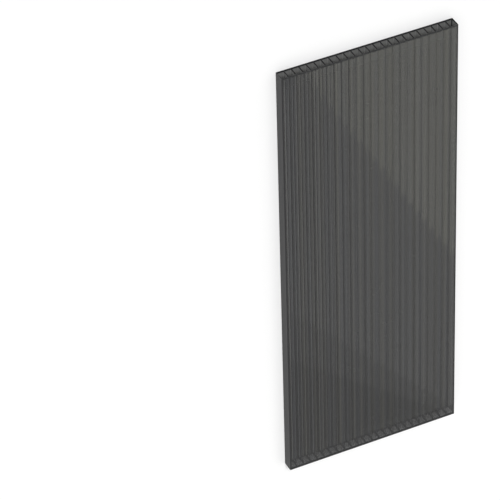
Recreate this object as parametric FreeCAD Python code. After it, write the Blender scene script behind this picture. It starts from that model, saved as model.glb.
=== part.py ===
import FreeCAD, Part
import os

# One flat twin-wall polycarbonate sheet: an upper and a lower skin held apart by
# upright webs, all extruded in one piece, so that the cells between the webs run
# open from one cut end to the other.
# X runs across the sheet, Y along the cells and Z up through the thickness.
# The origin is the middle of the underside. All sizes are in millimetres.

# How many cells lie side by side, and the distance from web to web.
cellCount = 24
cellPitch = 16.0

# The size along the cells and through the sheet.
sheetLength = 1000.0
sheetThickness = 25.0

# Wall thicknesses: the two skins, the webs between cells, and the thicker web that
# closes each long edge.
skinThickness = 1.0
webThickness = 0.7
edgeWebThickness = 1.0

# Roundings that the extrusion die leaves: where a web meets a skin inside a cell,
# and along the four long outer corners.
webRootRadius = 0.8
edgeCornerRadius = 0.6

# Sizes that follow from those above.
sheetWidth = cellCount * cellPitch + edgeWebThickness
halfWidth = sheetWidth / 2
cellFloor = skinThickness
cellCeiling = sheetThickness - skinThickness


def roundedOutline(left, right, bottom, top, radius):
    """A closed outline in the plane of the near cut end, with four round corners."""
    nearEnd = -sheetLength / 2
    toBend = radius * (1 - 0.5 ** 0.5)

    def point(x, z):
        return FreeCAD.Vector(x, nearEnd, z)

    lowerLine = Part.LineSegment(point(left + radius, bottom), point(right - radius, bottom))
    rightLine = Part.LineSegment(point(right, bottom + radius), point(right, top - radius))
    upperLine = Part.LineSegment(point(right - radius, top), point(left + radius, top))
    leftLine = Part.LineSegment(point(left, top - radius), point(left, bottom + radius))
    lowerRight = Part.Arc(
        lowerLine.EndPoint, point(right - toBend, bottom + toBend), rightLine.StartPoint
    )
    upperRight = Part.Arc(
        rightLine.EndPoint, point(right - toBend, top - toBend), upperLine.StartPoint
    )
    upperLeft = Part.Arc(
        upperLine.EndPoint, point(left + toBend, top - toBend), leftLine.StartPoint
    )
    lowerLeft = Part.Arc(
        leftLine.EndPoint, point(left + toBend, bottom + toBend), lowerLine.StartPoint
    )
    pieces = [
        lowerLine,
        lowerRight,
        rightLine,
        upperRight,
        upperLine,
        upperLeft,
        leftLine,
        lowerLeft,
    ]
    return Part.Wire([piece.toShape() for piece in pieces])


def wallAt(webNumber):
    """The thickness of one web, counted from 0 at the left edge of the sheet."""
    if webNumber in (0, cellCount):
        return edgeWebThickness
    return webThickness


def webCentre(webNumber):
    """Where the middle plane of one web stands across the sheet."""
    return (webNumber - cellCount / 2) * cellPitch


def cellOutline(cellNumber):
    """The hollow between two neighbouring webs and the two skins."""
    left = webCentre(cellNumber) + wallAt(cellNumber) / 2
    right = webCentre(cellNumber + 1) - wallAt(cellNumber + 1) / 2
    return roundedOutline(left, right, cellFloor, cellCeiling, webRootRadius)


def twinwallSheet():
    """The die's whole section, skins, webs and edges in one face, drawn out along Y."""
    rim = roundedOutline(-halfWidth, halfWidth, 0, sheetThickness, edgeCornerRadius)
    cells = [cellOutline(number) for number in range(cellCount)]
    section = Part.makeFace([rim] + cells, "Part::FaceMakerBullseye")
    return section.extrude(FreeCAD.Vector(0, sheetLength, 0))


os.makedirs("parts", exist_ok=True)
sheet = twinwallSheet()
solid = sheet.Solids[0]
solid.exportStep("parts/twinwall_sheet.step")
print("sheet", round(sheetWidth, 2), "x", sheetLength, "x", sheetThickness, "mm")
print("solid valid:", solid.isValid(), "closed:", solid.isClosed())
print("volume:", round(solid.Volume / 1000, 1), "cubic centimetres")
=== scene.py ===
import math

import bpy
from mathutils import Matrix, Vector


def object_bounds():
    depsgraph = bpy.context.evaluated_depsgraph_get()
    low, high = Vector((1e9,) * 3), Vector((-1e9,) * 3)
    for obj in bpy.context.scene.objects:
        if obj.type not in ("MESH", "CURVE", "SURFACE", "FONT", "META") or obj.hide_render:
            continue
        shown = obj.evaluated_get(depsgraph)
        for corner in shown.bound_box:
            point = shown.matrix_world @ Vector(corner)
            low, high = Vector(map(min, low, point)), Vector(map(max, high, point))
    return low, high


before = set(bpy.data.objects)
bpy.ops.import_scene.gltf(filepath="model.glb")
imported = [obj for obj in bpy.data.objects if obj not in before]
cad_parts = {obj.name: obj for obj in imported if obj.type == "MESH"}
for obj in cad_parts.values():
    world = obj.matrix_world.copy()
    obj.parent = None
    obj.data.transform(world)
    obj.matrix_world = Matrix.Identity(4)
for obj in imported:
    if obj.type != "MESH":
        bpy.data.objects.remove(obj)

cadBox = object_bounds()
lowCorner, highCorner = cadBox
sheetWidth, sheetLength, sheetDepth = highCorner - lowCorner
print("sheet loaded:", round(sheetWidth, 4), round(sheetLength, 4), round(sheetDepth, 4))

# The sheet lies on its lower skin, and the camera keeps the tilt that the photograph has to it.
# Angles are in degrees: the standing sheet turns about its length, then about the level axis of
# the picture and last about the lens axis.
cameraView = {
    "turn": 25.128,
    "tip": 38.487,
    "roll": -1.715,
    "shiftRight": 0.2445,  # where the lens sees the middle of the upper face, in metres
    "shiftDown": 0.0084,
    "away": 8.0295,
    "lens": 288.0,  # in millimetres, as the sensor is
    "sensor": 36.0,
    "clip": (0.05, 400.0),  # nothing nearer or farther is drawn, in metres
}


def aimCamera(view):
    turn, tip, roll = (math.radians(view[name]) for name in ("turn", "tip", "roll"))
    # rows are the lens's right, down and forward, and columns the sheet's width, depth and length
    upright = Matrix(((1, 0, 0), (0, 0, -1), (0, 1, 0)))
    turned = (
        Matrix.Rotation(roll, 3, "Z")
        @ Matrix.Rotation(tip, 3, "X")
        @ Matrix.Rotation(-turn, 3, "Y")
        @ upright
    )
    laid = Matrix(((1, 0, 0), (0, 0, 1), (0, -1, 0)))  # the standing sheet tips back onto the floor
    right, down, ahead = (laid @ turned[row] for row in range(3))
    offset = Vector((view["shiftRight"], view["shiftDown"], view["away"]))
    place = laid @ (turned.transposed() @ -offset) + Vector((0, 0, highCorner.z))
    data = bpy.data.cameras.new("studioCamera")
    data.lens = view["lens"]
    data.sensor_width = view["sensor"]
    data.clip_start, data.clip_end = view["clip"]
    camera = bpy.data.objects.new("studioCamera", data)
    bpy.context.scene.collection.objects.link(camera)
    axes = Matrix((right, -down, -ahead)).transposed().to_4x4()
    camera.matrix_world = Matrix.Translation(place) @ axes
    bpy.context.scene.camera = camera
    return place


cameraPlace = aimCamera(cameraView)
print("camera placed")


def addNode(tree, kind, **settings):
    node = tree.nodes.new(kind)
    for name, value in settings.items():
        setattr(node, name, value)
    return node


def feed(tree, socket, source):
    if isinstance(source, bpy.types.NodeSocket):
        tree.links.new(source, socket)
    else:
        socket.default_value = source


def maths(tree, operation, *sources):
    # works on a single source, or takes in any number of them one after another
    if len(sources) == 1:
        node = addNode(tree, "ShaderNodeMath", operation=operation)
        feed(tree, node.inputs[0], sources[0])
        return node.outputs[0]
    result = sources[0]
    for source in sources[1:]:
        node = addNode(tree, "ShaderNodeMath", operation=operation)
        feed(tree, node.inputs[0], result)
        feed(tree, node.inputs[1], source)
        result = node.outputs[0]
    return result


def times(tree, *sources):
    return maths(tree, "MULTIPLY", *sources)


def plus(tree, *sources):
    return maths(tree, "ADD", *sources)


def most(tree, *sources):
    return maths(tree, "MAXIMUM", *sources)


def restOf(tree, share):
    return maths(tree, "SUBTRACT", 1.0, share)


def smoothRamp(tree, value, start, end):
    node = addNode(tree, "ShaderNodeMapRange", interpolation_type="SMOOTHSTEP")
    feed(tree, node.inputs["Value"], value)
    feed(tree, node.inputs["From Min"], start)
    feed(tree, node.inputs["From Max"], end)
    return node.outputs["Result"]


def mixColours(tree, factor, first, second, blend="MIX"):
    node = addNode(tree, "ShaderNodeMix", data_type="RGBA", blend_type=blend)
    feed(tree, node.inputs["Factor"], factor)
    feed(tree, node.inputs[6], first)
    feed(tree, node.inputs[7], second)
    return node.outputs[2]


def splitPlace(tree, place):
    node = addNode(tree, "ShaderNodeSeparateXYZ")
    feed(tree, node.inputs[0], place)
    return node.outputs


def stretchPlace(tree, place, factors):
    # a place times one factor along each axis: a factor over 1 packs a noise more closely there,
    # and one under 1 draws it out
    stretched = addNode(tree, "ShaderNodeCombineXYZ")
    for socket, value, factor in zip(stretched.inputs, splitPlace(tree, place), factors):
        feed(tree, socket, times(tree, value, factor))
    return stretched.outputs[0]


def noiseAt(tree, place, scale, detail=2.0, roughness=0.5):
    node = addNode(tree, "ShaderNodeTexNoise")
    feed(tree, node.inputs["Vector"], place)
    node.inputs["Scale"].default_value = scale
    node.inputs["Detail"].default_value = detail
    node.inputs["Roughness"].default_value = roughness
    return node


floatSocket, vectorSocket = "NodeSocketFloat", "NodeSocketVector"


def newGroup(name, inputs, outputs):
    # a group whose outputs are all plain numbers, with the sockets inside it to read and to feed
    tree = bpy.data.node_groups.new(name, "ShaderNodeTree")
    for label, kind, value in inputs:
        socket = tree.interface.new_socket(label, in_out="INPUT", socket_type=kind)
        if value is not None:
            socket.default_value = value
    for label in outputs:
        tree.interface.new_socket(label, in_out="OUTPUT", socket_type=floatSocket)
    return tree, addNode(tree, "NodeGroupInput").outputs, addNode(tree, "NodeGroupOutput").inputs


def placeGroup(tree, group, **values):
    node = addNode(tree, "ShaderNodeGroup", node_tree=group)
    for name, source in values.items():
        feed(tree, node.inputs[name], source)
    return node.outputs


def makeRibLines():
    # 1 on the strip of skin over each web: how far a point is across from the nearest web
    tree, given, out = newGroup(
        "ribLines",
        (
            ("Across", floatSocket, None),
            ("Pitch", floatSocket, 0.016),
            ("Core", floatSocket, 0.0006),
            ("Fade", floatSocket, 0.001),
        ),
        ("Mask",),
    )
    count = maths(tree, "DIVIDE", given["Across"], given["Pitch"])
    nearest = maths(tree, "SUBTRACT", count, maths(tree, "ROUND", count))
    distance = times(tree, maths(tree, "ABSOLUTE", nearest), given["Pitch"])
    edge = plus(tree, given["Core"], given["Fade"])
    feed(tree, out["Mask"], smoothRamp(tree, distance, edge, given["Core"]))
    return tree


def makeEdgeBand():
    # 1 within a band of the outermost surface along one axis, fading inwards
    tree, given, out = newGroup(
        "edgeBand",
        (
            ("Along", floatSocket, None),
            ("Half Size", floatSocket, 0.5),
            ("Band", floatSocket, 0.002),
            ("Fade", floatSocket, 0.001),
        ),
        ("Mask",),
    )
    reach = maths(tree, "ABSOLUTE", given["Along"])
    start = maths(tree, "SUBTRACT", given["Half Size"], given["Band"])
    before = maths(tree, "SUBTRACT", start, given["Fade"])
    feed(tree, out["Mask"], smoothRamp(tree, reach, before, start))
    return tree


dieNoise = {
    "lines": 420.0,  # fine lines and broad bands, counted per metre across the sheet
    "bands": 90.0,
    "lineRoughness": 0.7,
    "bandRoughness": 0.5,
    "drift": 0.12,  # how fast both change along the sheet
    "depth": 400.0,  # and through it, so that the two skins differ
    "even": (0.3, 0.7),  # noise values that become 0 and 1
    "threads": (0.44, 0.3),  # only the lowest of the fine noise, as single dark threads
    "warm": (0.35, 0.65),
}


def makeDieLines(look):
    # lines that the extrusion die draws along the sheet: noise whose places are stretched along Y,
    # once for fine lines and once for broad bands
    tree, given, out = newGroup(
        "dieLines",
        (
            ("Position", vectorSocket, None),
            ("Lines", floatSocket, look["lines"]),
            ("Bands", floatSocket, look["bands"]),
            ("Drift", floatSocket, look["drift"]),
        ),
        ("Fine", "Broad", "Threads", "Warm"),
    )
    noises = []
    for spacing, roughness in (("Lines", "lineRoughness"), ("Bands", "bandRoughness")):
        factors = (given[spacing], given["Drift"], look["depth"])
        place = stretchPlace(tree, given["Position"], factors)
        noises.append(noiseAt(tree, place, 1.0, roughness=look[roughness]).outputs)
    fine, broad = noises
    channels = addNode(tree, "ShaderNodeSeparateColor")
    feed(tree, channels.inputs[0], broad["Color"])
    feed(tree, out["Fine"], smoothRamp(tree, fine["Fac"], *look["even"]))
    feed(tree, out["Broad"], smoothRamp(tree, broad["Fac"], *look["even"]))
    feed(tree, out["Threads"], smoothRamp(tree, fine["Fac"], *look["threads"]))
    feed(tree, out["Warm"], smoothRamp(tree, channels.outputs["Blue"], *look["warm"]))
    return tree


sawNoise = {
    "marks": 2500.0,  # per metre across the sheet
    "along": 300.0,
    "upward": 120.0,
    "chipScale": 700.0,
    "chips": (0.6, 0.72),  # noise values that become 0 and 1
}


def makeSawMarks(look):
    # upright scratches that the blade leaves across a sawn end: noise squeezed across the sheet,
    # and a rounder noise for the chips
    tree, given, out = newGroup(
        "sawMarks",
        (("Position", vectorSocket, None), ("Marks", floatSocket, look["marks"])),
        ("Value", "Chips"),
    )
    factors = (given["Marks"], look["along"], look["upward"])
    marks = noiseAt(tree, stretchPlace(tree, given["Position"], factors), 1.0, detail=1.0)
    chips = noiseAt(tree, given["Position"], look["chipScale"])
    feed(tree, out["Value"], marks.outputs["Fac"])
    feed(tree, out["Chips"], smoothRamp(tree, chips.outputs["Fac"], *look["chips"]))
    return tree


handlingNoise = {
    "cloudScale": 9.0,
    "cloudDetail": 5.0,
    "cloudRoughness": 0.65,
    "dustAndLightCoat": (0.35, 0.75),  # noise values that become 0 and 1
    "bend": (0.12, 0.12, 0.0),  # how far the clouds push the scuffs aside, in metres
    "scuffScale": 28.0,
    "scuffs": (0.012, 0.002),
    "patchScale": 30.0,
    "patches": (0.56, 0.66),
}


def makeHandling(look):
    # what handling leaves on the skins: cloudy dust, and scuffs along the edges of bent Voronoi
    # cells, kept only in some patches so that they stay short
    tree, given, out = newGroup(
        "handling",
        (("Position", vectorSocket, None),),
        ("Dust", "Scuffs"),
    )
    place = given["Position"]
    clouds = noiseAt(tree, place, look["cloudScale"], look["cloudDetail"], look["cloudRoughness"])
    bent = addNode(tree, "ShaderNodeVectorMath", operation="MULTIPLY_ADD")
    feed(tree, bent.inputs[0], clouds.outputs["Color"])
    bent.inputs[1].default_value = look["bend"]
    feed(tree, bent.inputs[2], place)
    strands = addNode(tree, "ShaderNodeTexVoronoi", feature="DISTANCE_TO_EDGE")
    feed(tree, strands.inputs["Vector"], bent.outputs[0])
    strands.inputs["Scale"].default_value = look["scuffScale"]
    patches = noiseAt(tree, place, look["patchScale"])
    thin = smoothRamp(tree, strands.outputs["Distance"], *look["scuffs"])
    some = smoothRamp(tree, patches.outputs["Fac"], *look["patches"])
    feed(tree, out["Dust"], smoothRamp(tree, clouds.outputs["Fac"], *look["dustAndLightCoat"]))
    feed(tree, out["Scuffs"], times(tree, thin, some))
    return tree


ribLines = makeRibLines()
edgeBand = makeEdgeBand()
dieLines = makeDieLines(dieNoise)
sawMarks = makeSawMarks(sawNoise)
handling = makeHandling(handlingNoise)
print("patterns made")

# Lengths are in metres. The upper end is the one at +Y, which the camera sees, and the far end
# is the other.
smokePlastic = {
    "grey": (0.048, 0.0484, 0.048, 1.0),
    "lineAndShadeGrey": (0.012, 0.012, 0.013, 1.0),  # over a web, where the eye looks down its depth; also the colour of the painted shade over the ends and long edges
    "cutGrey": (0.006, 0.0063, 0.007, 1.0),  # sawn ends swallow the light
    "dustAndLightGrey": (0.185, 0.186, 0.183, 1.0),  # sawdust in the mouths of the cells, also painted light: pale enough to lift the shade inside them
    "webDustAndLightGrey": (0.35, 0.352, 0.347, 1.0),  # paler on the webs: painted light that lifts their shaded sides
    "roofShadeGrey": (0.09, 0.09, 0.09, 1.0),  # the roofs of the cells are dark: painted shade that keeps the lit coat below from showing through the skin
    "coolTint": (0.97, 0.985, 1.03, 1.0),
    "warmTint": (1.03, 1.015, 0.95, 1.0),
    "outerCover": 0.64,  # how much an outer surface hides of what lies behind it
    "innerCover": 0.12,  # the same for the walls of the cells
    "streakCover": 0.22,  # and how much more the palest streaks hide, outside
    "innerStreakCover": 0.1,  # and inside
    "lineShare": 0.44,  # how much a line over a web hides
    "wornShare": 0.52,  # and how much more where the die is worn
    "lineBreaks": 0.45,  # how much of a line the broad bands take away
    "scoreShare": 0.9,  # lines that the worn die scores, against one over a web
    "threadShare": 0.81,  # and single dark threads
    "mouthShade": 0.06,  # painted shade: the skin over the mouths of the upper end is a little darker, to even out the pale coat seen through it
    "farShade": 0.62,  # and painted shade, most over the far mouths, where the floor would shine through
    "farClear": 0.9,  # how much of the lines ends there, so that the ends of the webs show
    "edgeShade": 0.92,  # painted shade on the two long edges, which close the sheet
    # the coat in the upper mouths, sawdust and painted light: how much of its colour shows, and how
    # much it hides
    "dustAndLightShare": 0.9,
    "dustAndLightCover": 0.85,
    "chipShare": 0.5,
    "pitch": 0.016,
    "webLine": (0.0009, 0.001),  # half the width of a line and its fade
    "scoreLine": (0.0005, 0.0009),
    "highlightLine": (0.0004, 0.0009),
    "dustAndLightLine": (0.0007, 0.0004),
    "highlightAside": 0.0022,  # a painted highlight runs this far beside each dark line, so that the line looks embossed
    "highlightLines": 0.9,  # how bright the painted highlights are, where the die is worn
    "wornSide": (0.05, -0.16),  # across the sheet, from where the die is sound to where it is worn
    "skinBand": (0.0013, 0.0008),  # how deep a mask reaches from the surface, and its fade
    "faceBand": (0.0003, 0.0003),
    "sawnBand": (0.0032, 0.0008),
    "edgeFaceBand": (0.0003, 0.0004),
    "longEdgeBand": (0.0028, 0.0006),
    "dustAndLightEnd": (0.035, 0.019),  # from the upper end: where the dust and its painted light start and are full
    "shadedEnd": (0.03, 0.024),  # from the far end: where the painted shade starts and is full
    "webEnd": (0.0075, 0.0065),  # the dark ends of the webs
    "rimEnd": (0.0072, 0.006),  # and of the skins
    "roof": (0.0014, 0.002),  # from the upper face: the roofs of the cells end here
    "fineStreaks": 0.35,  # what each pattern adds to the streaks
    "broadStreaks": 0.35,
    # painted light, palest halfway between two webs
    "hollowLight": 0.3,
    "wornHollowLight": 0.15,  # how much less the last adds where the die is worn
    "streaks": 0.85,  # how much the streaks change the grey
    "gloss": 0.014,
    "fineRoughness": 0.01,
    "dullness": 0.55,  # lines, cuts, long edges and dust are dull
    "dustRoughness": 0.015,
    "scuffRoughness": 0.3,
    "refraction": 1.58,
    "dish": 0.000007,  # how far the skins sink between two webs
    "dieDepth": 0.0000007,
    "sawDepth": 0.00008,
    "scuffDepth": 0.000004,
}


def makeSmokePlastic(look):
    material = bpy.data.materials.new("smokePolycarbonate")
    material.use_nodes = True
    tree = material.node_tree
    shader = tree.nodes["Principled BSDF"].inputs
    place = addNode(tree, "ShaderNodeTexCoord").outputs["Object"]
    across, along, upward = splitPlace(tree, place)
    upFromMiddle = maths(tree, "SUBTRACT", upward, sheetDepth / 2)
    fromUpper = maths(tree, "SUBTRACT", sheetLength / 2, along)
    fromFar = plus(tree, along, sheetLength / 2)
    fromFace = maths(tree, "SUBTRACT", sheetDepth, upward)

    def band(value, size, name):
        width, fade = look[name]
        values = {"Along": value, "Half Size": size / 2, "Band": width, "Fade": fade}
        return placeGroup(tree, edgeBand, **values)[0]

    def ribs(value, pitch, name):
        core, fade = look[name]
        return placeGroup(tree, ribLines, Across=value, Pitch=pitch, Core=core, Fade=fade)[0]

    skin = band(upFromMiddle, sheetDepth, "skinBand")
    outer = band(upFromMiddle, sheetDepth, "faceBand")
    sawnBand = band(along, sheetLength, "sawnBand")
    outerEdge = band(across, sheetWidth, "edgeFaceBand")
    longEdge = band(across, sheetWidth, "longEdgeBand")
    upperEnd = smoothRamp(tree, fromUpper, *look["dustAndLightEnd"])
    farEnd = smoothRamp(tree, fromFar, *look["shadedEnd"])
    webEnd = smoothRamp(tree, fromFar, *look["webEnd"])
    rimEnd = smoothRamp(tree, fromFar, *look["rimEnd"])
    belowRoof = smoothRamp(tree, fromFace, *look["roof"])
    shell = most(tree, outer, outerEdge)
    walls = restOf(tree, shell)
    onWeb = times(tree, webEnd, maths(tree, "SUBTRACT", walls, skin))
    cut = most(tree, sawnBand, onWeb, times(tree, rimEnd, outer))
    die = placeGroup(tree, dieLines, Position=place)
    saw = placeGroup(tree, sawMarks, Position=place)
    worked = placeGroup(tree, handling, Position=place)

    # the die lines are stronger towards the left edge, as if the die was worn there
    worn = smoothRamp(tree, across, *look["wornSide"])
    lineShare = plus(tree, look["lineShare"], times(tree, worn, look["wornShare"]))
    broken = restOf(tree, times(tree, die["Broad"], look["lineBreaks"]))
    overWeb = times(tree, ribs(across, look["pitch"], "webLine"), broken)
    scored = times(tree, ribs(across, look["pitch"] / 2, "scoreLine"), worn, look["scoreShare"])
    threads = times(tree, die["Threads"], look["threadShare"])
    mouth = most(tree, maths(tree, "SUBTRACT", upperEnd, outer), 0.0)
    clearer = restOf(tree, times(tree, farEnd, look["farClear"]))
    overWeb = most(tree, overWeb, scored, threads)
    overWeb = times(tree, overWeb, skin, lineShare, restOf(tree, mouth), clearer)
    corner = times(tree, longEdge, skin)
    # painted shade: a dark coat over the skin at both ends, and on the long edges
    shadeUpper = times(tree, upperEnd, look["mouthShade"])
    shadeFar = times(tree, farEnd, look["farShade"])
    overEnd = times(tree, most(tree, shadeUpper, shadeFar), outer)
    overEdge = times(tree, outerEdge, look["edgeShade"])
    # the lines over the webs, joined by the painted shade over the ends and the long edges
    line = most(tree, overWeb, corner, overEnd, overEdge)

    # painted light: the skin is palest halfway between two webs
    turns = times(tree, across, 2 * math.pi / look["pitch"])
    hollow = plus(tree, 0.5, times(tree, maths(tree, "COSINE", turns), -0.5))
    wornHollowLight = times(tree, worn, look["wornHollowLight"])
    hollowLight = maths(tree, "SUBTRACT", look["hollowLight"], wornHollowLight)
    shade = plus(
        tree,
        times(tree, die["Fine"], look["fineStreaks"]),
        times(tree, die["Broad"], look["broadStreaks"]),
        times(tree, hollow, hollowLight),
    )
    # a painted highlight beside each dark line, where the die is worn
    beside = plus(tree, across, look["highlightAside"])
    paintedHighlight = times(tree, ribs(beside, look["pitch"] / 2, "highlightLine"), worn, look["highlightLines"])
    brighter = plus(
        tree,
        1.0 - look["streaks"] / 2,
        times(tree, shade, look["streaks"]),
        times(tree, paintedHighlight, clearer),
    )
    streaked = mixColours(tree, 1.0, look["grey"], brighter, "MULTIPLY")
    tint = mixColours(tree, die["Warm"], look["coolTint"], look["warmTint"])
    tinted = mixColours(tree, 1.0, streaked, tint, "MULTIPLY")
    # a pale coat on the walls in the upper mouths: sawdust, and painted light that lifts the shade
    # inside the cells
    dustAndLightCoat = times(tree, upperEnd, walls)
    # painted light: the coat is paler on the webs, whose sides lie in shade
    dustAndLightOnWebs = ribs(across, look["pitch"], "dustAndLightLine")
    dustAndLight = mixColours(tree, dustAndLightOnWebs, look["dustAndLightGrey"], look["webDustAndLightGrey"])
    # painted shade on the roofs of the cells, in place of the coat
    dustAndLight = mixColours(tree, belowRoof, look["roofShadeGrey"], dustAndLight)
    withDustAndLight = mixColours(tree, times(tree, dustAndLightCoat, look["dustAndLightShare"]), tinted, dustAndLight)

    # a line, or the painted shade, lies over the plastic like a thin coat: both hide what is
    # behind, each by its share
    moreOutside = times(tree, shell, look["outerCover"] - look["innerCover"])
    streakOutside = times(tree, shell, look["streakCover"] - look["innerStreakCover"])
    streakCover = times(tree, shade, plus(tree, look["innerStreakCover"], streakOutside))
    solid = most(tree, cut, times(tree, dustAndLightCoat, look["dustAndLightCover"]))
    base = most(tree, plus(tree, look["innerCover"], moreOutside, streakCover), solid)
    base = maths(tree, "MINIMUM", base, 1.0)
    cover = restOf(tree, times(tree, restOf(tree, base), restOf(tree, line)))
    feed(tree, shader["Alpha"], cover)
    lined = mixColours(tree, maths(tree, "DIVIDE", line, cover), withDustAndLight, look["lineAndShadeGrey"])
    chips = times(tree, saw["Chips"], look["chipShare"])
    chipped = mixColours(tree, chips, look["cutGrey"], look["dustAndLightGrey"])
    feed(tree, shader["Base Color"], mixColours(tree, cut, lined, chipped))

    rough = plus(
        tree,
        look["gloss"],
        times(tree, die["Fine"], look["fineRoughness"]),
        times(tree, most(tree, solid, overWeb, corner, outerEdge), look["dullness"]),
        times(tree, worked["Dust"], look["dustRoughness"]),
        times(tree, worked["Scuffs"], look["scuffRoughness"]),
    )
    feed(tree, shader["Roughness"], rough)
    shader["IOR"].default_value = look["refraction"]

    # height in metres: the skin is highest over a web and sinks by the dish halfway between two
    wave = times(tree, hollow, -look["dish"])
    drawn = times(tree, die["Fine"], look["dieDepth"])
    sawn = times(tree, saw["Value"], cut, look["sawDepth"])
    scuffed = times(tree, worked["Scuffs"], -look["scuffDepth"])
    bump = addNode(tree, "ShaderNodeBump")
    bump.inputs["Strength"].default_value = 1.0
    bump.inputs["Distance"].default_value = 1.0
    height = plus(tree, times(tree, plus(tree, wave, drawn), skin), sawn, scuffed)
    feed(tree, bump.inputs["Height"], height)
    feed(tree, shader["Normal"], bump.outputs["Normal"])
    return material


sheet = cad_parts["twinwall_sheet"]
sheet.data.materials.clear()
sheet.data.materials.append(makeSmokePlastic(smokePlastic))
print("polycarbonate made")

studio = {
    "floorColour": (0.96, 0.96, 0.96, 1.0),
    "floorHalf": 60.0,  # half the floor's side, in metres
    "floorGap": 0.0002,  # the floor lies this far below the sheet
    "skyColour": (1.0, 1.0, 1.0, 1.0),
    "skyStrength": 0.5,  # as it lights the sheet; the lens sees it at full strength
    "keyStrength": 2.2,
    "keySpread": 25.0,  # degrees, wide enough for soft shadows
    "keyFrom": (-0.25, 0.8, 1.1),
    # Three soft cards that the face mirrors: radiance, height over the floor, two points on the
    # sheet, in metres, where the mirror image of the card's near edge runs, and how far the card
    # reaches along that edge to both sides of it, and away from it, and its colour.
    "cards": {
        "broadCard": (0.235, 2.2, (-0.1925, -0.07), (0.173, -0.46), 0.55, 1.25, (1.0, 1.0, 1.0)),
        "lowerCard": (0.21, 2.25, (-0.1925, -0.2), (0.173, -0.485), 0.55, 1.3, (1.0, 1.0, 1.0)),
        "upperCard": (0.46, 2.4, (-0.14, 0.49), (0.162, -0.03), 0.25, 0.75, (1.0, 1.0, 0.75)),
    },
}


def makeFloor(look):
    mesh = bpy.data.meshes.new("floor")
    half = look["floorHalf"]
    corners = [(-half, -half, 0), (half, -half, 0), (half, half, 0), (-half, half, 0)]
    mesh.from_pydata(corners, [], [(0, 1, 2, 3)])
    floor = bpy.data.objects.new("floor", mesh)
    bpy.context.scene.collection.objects.link(floor)
    floor.location.z = lowCorner.z - look["floorGap"]
    material = bpy.data.materials.new("palePaper")
    material.use_nodes = True
    tree = material.node_tree
    tree.nodes.clear()
    out = addNode(tree, "ShaderNodeOutputMaterial")
    paper = addNode(tree, "ShaderNodeBsdfDiffuse")
    paper.inputs["Color"].default_value = look["floorColour"]
    tree.links.new(paper.outputs[0], out.inputs["Surface"])
    mesh.materials.append(material)


def makeSky(look):
    world = bpy.data.worlds.new("studioSky")
    bpy.context.scene.world = world
    world.use_nodes = True
    tree = world.node_tree
    sky = tree.nodes["Background"]
    sky.inputs["Color"].default_value = look["skyColour"]
    seen = addNode(tree, "ShaderNodeLightPath").outputs["Is Camera Ray"]
    strength = plus(tree, look["skyStrength"], times(tree, seen, 1.0 - look["skyStrength"]))
    feed(tree, sky.inputs["Strength"], strength)


def addKey(look):
    data = bpy.data.lights.new("keyLamp", "SUN")
    data.energy = look["keyStrength"]
    data.angle = math.radians(look["keySpread"])
    lamp = bpy.data.objects.new("keyLamp", data)
    bpy.context.scene.collection.objects.link(lamp)
    lamp.rotation_euler = (-Vector(look["keyFrom"])).to_track_quat("-Z", "Y").to_euler()


def addCard(name, glow, height, start, end, spare, deep, colour):
    # the mirrored lens below the sheet sees the card through the face, so two points of its edge
    # on the face fix that edge in the air
    mirrored = Vector((cameraPlace.x, cameraPlace.y, 2 * highCorner.z - cameraPlace.z))
    edge = []
    for x, y in (start, end):
        point = Vector((x, y, highCorner.z))
        reach = (height - mirrored.z) / (point.z - mirrored.z)
        edge.append(mirrored + (point - mirrored) * reach)
    run = (edge[1] - edge[0]).normalized()
    outward = Vector((-run.y, run.x, 0.0))  # from the edge over the lit corner of the sheet
    wide = (edge[1] - edge[0]).length + 2 * spare
    data = bpy.data.lights.new(name, "AREA")
    data.shape = "RECTANGLE"
    data.size, data.size_y = wide, deep
    data.energy = glow * math.pi * wide * deep
    data.color = colour
    lamp = bpy.data.objects.new(name, data)
    bpy.context.scene.collection.objects.link(lamp)
    middle = (edge[0] + edge[1]) / 2 + outward * deep / 2
    axes = Matrix((run, outward, run.cross(outward))).transposed().to_4x4()
    lamp.matrix_world = Matrix.Translation(middle) @ axes


makeFloor(studio)
makeSky(studio)
addKey(studio)
for cardName, card in studio["cards"].items():
    addCard(cardName, *card)
print("studio lit")

bpy.context.scene.view_settings.view_transform = "Standard"
